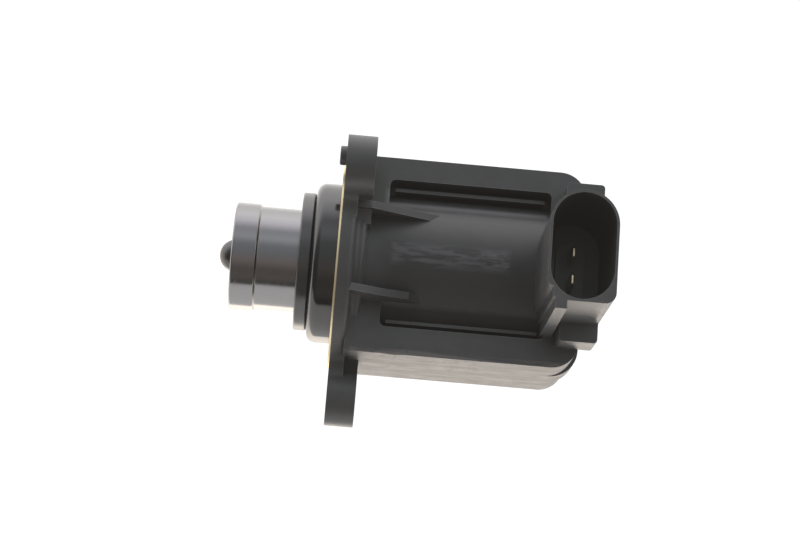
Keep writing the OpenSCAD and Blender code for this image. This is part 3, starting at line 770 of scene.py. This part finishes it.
@dataclass
class GuideAndSeals:
    """The glossy drum that guides the piston, with the plate behind it and the ring and seals on it.

    Attributes:
        edge: width of the round on the drum and the ring.
        ring_middle: place of the ring's middle along the axis.
        ring_shift: how far its rear face moves towards the drum.
    """

    edge: float = 0.1 * MM
    ring_middle: float = -7.4 * MM
    ring_shift: float = 0.2 * MM

    def build(self, bench: Bench) -> None:
        """Builds and dresses the drum and what sits on it.

        Args:
            bench: nodes and patterns.
        """
        edges = Edges(self.edge)
        bench.rounded("guide_cup", "guide_drum", edges, Body.VALVE, "gloss_black", GLOSS_BLACK)
        longer = Stretch(self.ring_middle, self.ring_shift)
        bench.rounded("seal_retainer", "retaining_ring", edges, Body.VALVE, "satin_black", SATIN_BLACK, longer)
        bench.dress(GOLD, "retaining_plate")
        bench.dress(RUBBER, "piston_seal", "register_ring")


@dataclass
class PistonSet:
    """The piston with its rod and armature, which slide together.

    Attributes:
        edge: width of the round on the piston's edges.
        step: where the band ends and the narrower body starts, along the axis.
        step_edge: width of the round on that step.
    """

    edge: float = 0.1 * MM
    step: tuple[float, float] = (-18.3 * MM, -17.5 * MM)
    step_edge: float = 0.22 * MM

    def build(self, bench: Bench) -> None:
        """Builds and dresses the sliding pieces.

        Args:
            bench: nodes and patterns.
        """
        far = 100.0 * MM
        start, end = self.step
        edges = Edges(self.edge, (EdgeZone((start, -far, -far), (end, far, far), self.step_edge),))
        bench.rounded("piston", "turned_piston", edges, Body.PLUNGER, "anodised_grey", ANODISED)
        bench.dress(DARK_ROD, "push_rod")
        bench.dress(IRON, "armature")


@dataclass
class MagnetCircuit:
    """The coil with its steel parts, all inside the box."""

    def build(self, bench: Bench) -> None:
        """Dresses the inner pieces.

        Args:
            bench: nodes and patterns.
        """
        bench.dress(IRON, "yoke", "pole_plate", "pole_core")
        bench.dress(STEEL, "guide_tube")
        bench.dress(BRONZE, "rod_bush")
        bench.dress(COPPER, "coil_winding")
        bench.dress(NATURAL, "coil_bobbin")
        bench.dress(BRASS, "core_shim")


@dataclass
class ReturnSpring:
    """The coil spring between bush and piston.

    Attributes:
        travel: how far the piston slides; not used.
        end_angle: smallest angle that stays sharp, which keeps the cut ends of the wire.
    """

    travel: float = 6.0 * MM
    end_angle: float = 75.0

    def build(self, bench: Bench) -> None:
        """Builds and dresses the spring.

        Args:
            bench: nodes and patterns.
        """
        uncut = Edges(0.0, least_angle=180.0, sharp_angle=self.end_angle)
        spring = bench.rounded("return_spring", "coil_spring", uncut, Body.VALVE, "spring_steel", WIRE)
        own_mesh(spring)


@dataclass
class PlugTerminals:
    """The two blades in the socket.

    Attributes:
        edge: width of the round on their edges.
    """

    edge: float = 0.05 * MM

    def build(self, bench: Bench) -> None:
        """Builds and dresses the blades.

        Args:
            bench: nodes and patterns.
        """
        for place in ("upper", "lower"):
            node = f"terminal_{place}"
            bench.rounded(node, f"blade_{place}", Edges(self.edge), Body.VALVE, "terminal_brass", BRASS)


@dataclass(frozen=True)
class PhotoCamera:
    """The camera that took the photograph, fitted to the valve's own edges.

    Attributes:
        place: the lens's place.
        tilt: turn of the view about X, in radians.
        pan: turn about Y.
        roll: turn about Z.
        lens: focal length in mm on a sensor 36 mm wide.
        sensor: the sensor's width in mm.
    """

    place: Triple = (0.738 * MM, -430.606 * MM, -110.908 * MM)
    tilt: float = -0.251172
    pan: float = 0.0865431
    roll: float = 0.0295763
    lens: float = 90.0
    sensor: float = 36.0

    def build(self) -> bpy.types.Object:
        """Makes the camera, sets it as the scene's and returns it."""
        data = bpy.data.cameras.new("photo_camera")
        data.lens = self.lens
        data.sensor_width = self.sensor
        data.clip_start = 0.01
        turned = (
            Matrix.Rotation(self.roll, 3, "Z")
            @ Matrix.Rotation(self.pan, 3, "Y")
            @ Matrix.Rotation(self.tilt, 3, "X")
        )
        right, ahead, up = turned
        basis = Matrix((right, up, -ahead)).transposed()
        camera = bpy.data.objects.new("photo_camera", data)
        camera.matrix_world = Matrix.Translation(self.place) @ basis.to_4x4()
        bpy.context.scene.collection.objects.link(camera)
        bpy.context.scene.camera = camera
        return camera


@dataclass(frozen=True)
class WhiteCard(Finish):
    """The studio table's matt white card."""

    name: str = "white_card"

    def material(self, patterns: Patterns) -> bpy.types.Material:
        """Builds the material."""
        made, graph, shader, place = self.start()
        noise = graph.add("ShaderNodeTexNoise", {"Vector": place, "Scale": 40.0})
        shade = graph.mix(noise.outputs["Fac"], rgba((0.86, 0.86, 0.85)), rgba((0.90, 0.90, 0.89)))
        graph.feed(shader.inputs["Base Color"], shade)
        shader.inputs["Roughness"].default_value = 0.9
        return made


@dataclass(frozen=True)
class Wall:
    """How bright one side of the room is, all the way around the valve axis.

    Attributes:
        stops: degrees from level on the socket's side upwards, tint and level.
        brightest: the level that the ramp's full tint stands for.
    """

    stops: tuple[tuple[float, Triple, float], ...]
    brightest: float = 4.5

    def colour(self, graph: Graph, share: Socket) -> Socket:
        """Makes the wall's light.

        Args:
            graph: the world's graph.
            share: the turn around the axis, from 0 at -180 degrees to 1 at 180.

        Returns:
            The colour, of which full white stands for the brightest level.
        """
        ramp = graph.add("ShaderNodeValToRGB", {0: share})
        while len(ramp.color_ramp.elements) < len(self.stops):
            ramp.color_ramp.elements.new(0.5)
        for element, (angle, tint, level) in zip(ramp.color_ramp.elements, self.stops):
            element.position = (angle + 180.0) / 360.0
            element.color = rgba(shaded(tint, level / self.brightest))
        return ramp.outputs[0]


@dataclass
class Studio:
    """A pale table below the valve, white walls behind and above it and a dim room on the camera's side.

    Attributes:
        floor_low: the table's left front corner.
        floor_high: its right rear corner.
        middle: light from the directions square to the valve axis.
        left: light from the piston's end.
        right: light from the box's end.
        side_start: how far a direction leans along the axis where the side walls begin, as a cosine.
        side_full: where they take over.
        flare: the haze that the white backdrop puts into the lens, as a share of white.
    """

    floor_low: Triple = (-1.2, -0.155, -0.62)
    floor_high: Triple = (1.2, 0.9, -0.62)
    side_start: float = 0.25
    side_full: float = 0.75
    flare: Triple = (0.011, 0.0103, 0.0092)
    middle: Wall = Wall((
        (-180.0, (1.0, 0.95, 0.9), 1.4),
        (-150.0, (1.0, 0.9, 0.79), 3.85),
        (-120.0, (1.0, 0.98, 0.96), 1.8),
        (-100.0, (1.0, 0.97, 0.95), 1.0),
        (-86.0, (1.0, 0.96, 0.93), 0.55),
        (-76.0, (1.0, 1.0, 1.0), 0.0),
        (-60.0, (1.0, 0.88, 0.78), 0.24),
        (-40.0, (1.0, 0.88, 0.76), 0.2),
        (-20.0, (1.0, 0.87, 0.83), 0.42),
        (0.0, (0.88, 0.95, 1.0), 0.45),
        (15.0, (0.91, 0.94, 1.0), 0.52),
        (30.0, (0.9, 0.96, 1.0), 0.98),
        (50.0, (0.91, 0.93, 1.0), 0.8),
        (70.0, (0.97, 0.96, 1.0), 1.82),
        (90.0, (1.0, 0.98, 0.99), 2.15),
        (120.0, (1.0, 0.98, 0.96), 1.5),
        (150.0, (1.0, 0.97, 0.94), 1.45),
        (180.0, (1.0, 0.95, 0.9), 1.4),
    ))
    left: Wall = Wall((
        (-180.0, (1.0, 0.87, 0.79), 1.72),
        (-140.0, (1.0, 0.97, 0.91), 2.06),
        (-90.0, (0.97, 0.99, 1.0), 0.1),
        (-30.0, (1.0, 1.0, 1.0), 0.08),
        (30.0, (0.9, 0.96, 1.0), 0.25),
        (80.0, (1.0, 0.97, 0.98), 2.03),
        (140.0, (1.0, 0.97, 0.93), 1.4),
        (180.0, (1.0, 0.87, 0.79), 1.72),
    ))
    right: Wall = Wall((
        (-180.0, (1.0, 0.96, 0.93), 1.48),
        (-140.0, (1.0, 0.98, 0.98), 1.14),
        (-90.0, (0.97, 1.0, 1.0), 0.22),
        (-30.0, (0.97, 1.0, 1.0), 0.2),
        (30.0, (0.93, 0.98, 1.0), 1.27),
        (80.0, (1.0, 0.95, 0.92), 1.0),
        (140.0, (1.0, 0.95, 0.9), 1.2),
        (180.0, (1.0, 0.96, 0.93), 1.48),
    ))

    def build(self, patterns: Patterns) -> None:
        """Makes the table and the surroundings.

        Args:
            patterns: the shared node groups.
        """
        self._floor(patterns)
        self._surroundings()
        view = bpy.context.scene.view_settings
        view.view_transform = "Standard"
        view.use_curve_mapping = True
        view.curve_mapping.black_level = [-share for share in self.flare]

    def _floor(self, patterns: Patterns) -> None:
        """Lays a sheet of white card.

        Args:
            patterns: the shared node groups.
        """
        low, high = Vector(self.floor_low), Vector(self.floor_high)
        size = high - low
        shape = bmesh.new()
        bmesh.ops.create_grid(shape, x_segments=1, y_segments=1, size=0.5)
        bmesh.ops.scale(shape, vec=(size.x, size.y, 1.0), verts=shape.verts)
        bmesh.ops.translate(shape, vec=(low + high) / 2, verts=shape.verts)
        mesh = bpy.data.meshes.new("floor")
        shape.to_mesh(mesh)
        shape.free()
        mesh.materials.append(WhiteCard().material(patterns))
        floor = bpy.data.objects.new("floor", mesh)
        bpy.context.scene.collection.objects.link(floor)

    def _surroundings(self) -> None:
        """Lights the valve from the walls and shows the camera plain white."""
        world = bpy.data.worlds.new("studio")
        bpy.context.scene.world = world
        world.use_nodes = True
        world.node_tree.nodes.clear()
        graph = Graph(world.node_tree)
        direction = graph.add("ShaderNodeSeparateXYZ", {0: graph.add("ShaderNodeTexCoord").outputs["Generated"]})
        along = direction.outputs[0]
        forward = graph.math("MULTIPLY", direction.outputs[1], -1.0)
        turn = graph.math("ARCTAN2", direction.outputs[2], forward)
        share = graph.add(
            "ShaderNodeMapRange", {"Value": turn, "From Min": -math.pi, "From Max": math.pi}
        ).outputs["Result"]
        is_left = graph.remap(graph.math("MULTIPLY", along, -1.0), self.side_start, self.side_full, 0.0, 1.0)
        is_right = graph.remap(along, self.side_start, self.side_full, 0.0, 1.0)
        walls = graph.mix(is_left, self.middle.colour(graph, share), self.left.colour(graph, share))
        walls = graph.mix(is_right, walls, self.right.colour(graph, share))
        lit = graph.add("ShaderNodeBackground", {"Color": walls, "Strength": self.middle.brightest})
        seen = graph.add("ShaderNodeBackground", {"Color": rgba((1.0, 1.0, 1.0)), "Strength": 1.1})
        is_seen = graph.add("ShaderNodeLightPath").outputs["Is Camera Ray"]
        both = graph.add("ShaderNodeMixShader", {0: is_seen, 1: lit.outputs[0], 2: seen.outputs[0]})
        output = graph.add("ShaderNodeOutputWorld", {"Surface": both.outputs[0]})
        output.is_active_output = True


def main() -> None:
    """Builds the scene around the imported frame."""
    logging.basicConfig(level=logging.INFO, format="%(name)s: %(message)s")
    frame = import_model()
    PhotoCamera().build()
    patterns = Patterns()
    Studio().build(patterns)
    bench = Bench(frame["nodes"], patterns, {})
    parts = (
        HousingMoulding(), BoltSleeves(), GuideAndSeals(), PistonSet(), MagnetCircuit(), ReturnSpring(), PlugTerminals()
    )
    for part in parts:
        LOG.info("building %s", type(part).__name__)
        part.build(bench)


if __name__ == "__main__":
    main()
